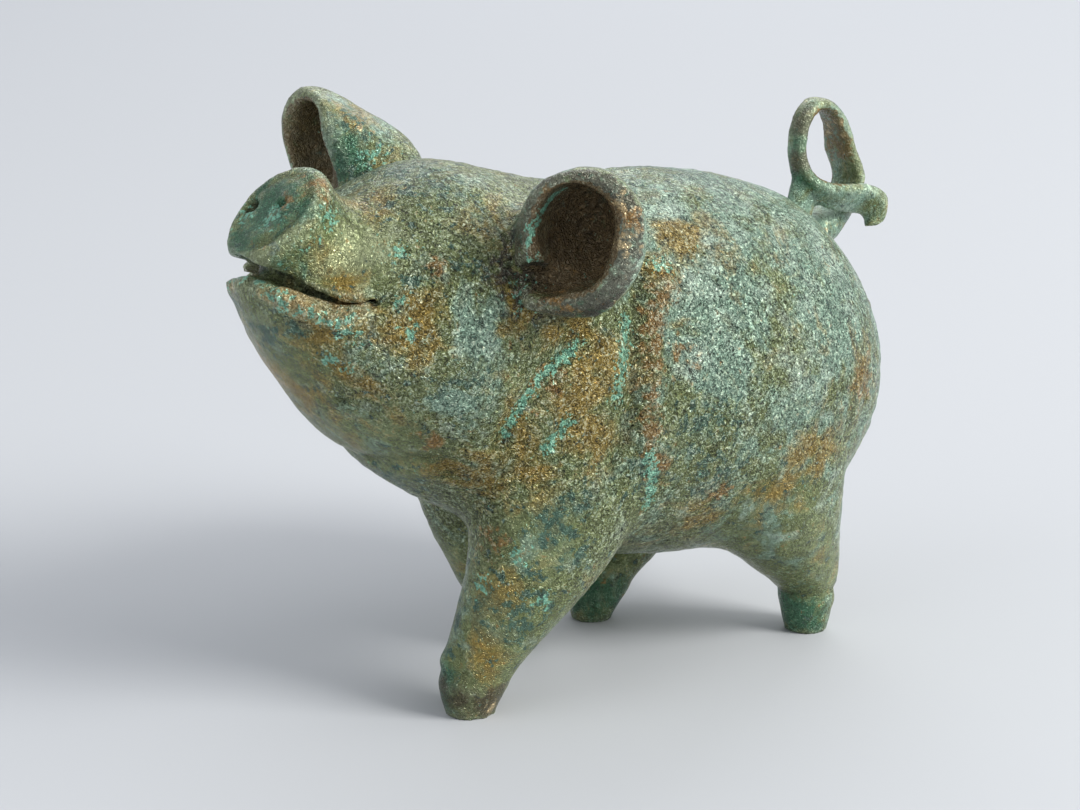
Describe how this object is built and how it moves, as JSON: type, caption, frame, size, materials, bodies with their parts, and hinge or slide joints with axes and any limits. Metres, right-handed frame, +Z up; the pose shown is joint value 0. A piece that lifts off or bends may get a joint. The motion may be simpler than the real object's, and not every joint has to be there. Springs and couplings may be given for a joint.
{
  "type": "pig figurine",
  "caption": "Small solid bronze pig at a trot, head raised, cupped ears held out, curled tail, green patina over golden metal.",
  "frame": {"origin": "centre of the footprint, on the plane of the four soles", "axes": "-Y is where the pig looks, +X is its left side, +Z is up"},
  "size_m": [0.0376, 0.056, 0.0412],
  "materials": {
    "patinated_bronze": "solid cast bronze with a mottled green, teal and ochre patina, rubbed bare on the high edges"
  },
  "bodies": {
    "root": {"bronze_pig": "patinated_bronze"}
  },
  "joints": []
}
